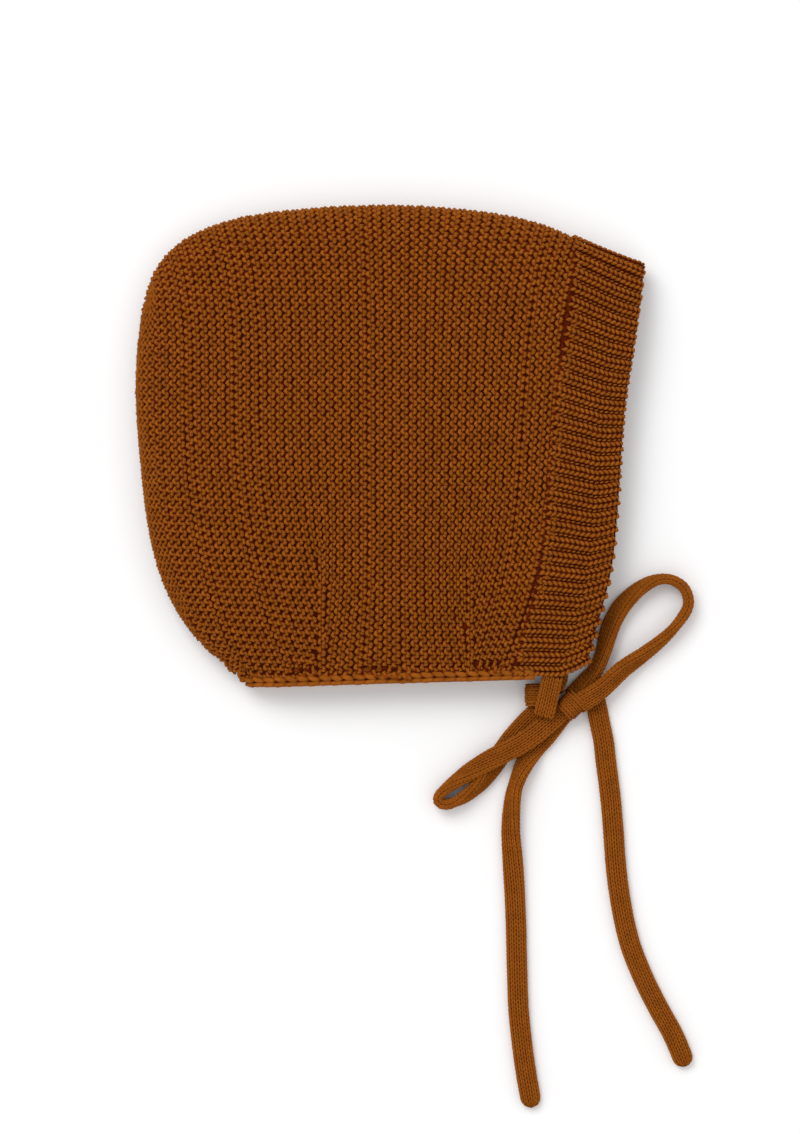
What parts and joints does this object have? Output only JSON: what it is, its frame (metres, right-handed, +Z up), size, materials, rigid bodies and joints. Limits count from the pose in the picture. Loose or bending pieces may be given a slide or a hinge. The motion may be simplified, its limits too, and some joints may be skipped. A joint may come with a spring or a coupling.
{
  "type": "baby bonnet",
  "caption": "Knitted baby bonnet folded flat on its side: garter-stitch hood, ribbed face band, bound neck edge, and two flat knitted ties in a bow with loose ends.",
  "frame": {"origin": "under the middle of the bonnet without its ties, on the surface that it lies on", "axes": "+X from the back of the head to the face opening, +Y from the neck to the crown, +Z up from the surface"},
  "size_m": [0.1791, 0.2888, 0.0217],
  "materials": {
    "wool": "rust-brown merino knit, matte",
    "tie": "rust-brown knitted cord, matte"
  },
  "bodies": {
    "root": {"hood": "wool", "face_rib": "wool", "neck_edge": "wool", "tie_near": "tie", "tie_far": "tie", "half_knot": "tie", "bow_wrap": "tie", "loop_right": "tie", "loop_left": "tie", "tail_right": "tie", "tail_left": "tie"}
  },
  "joints": []
}
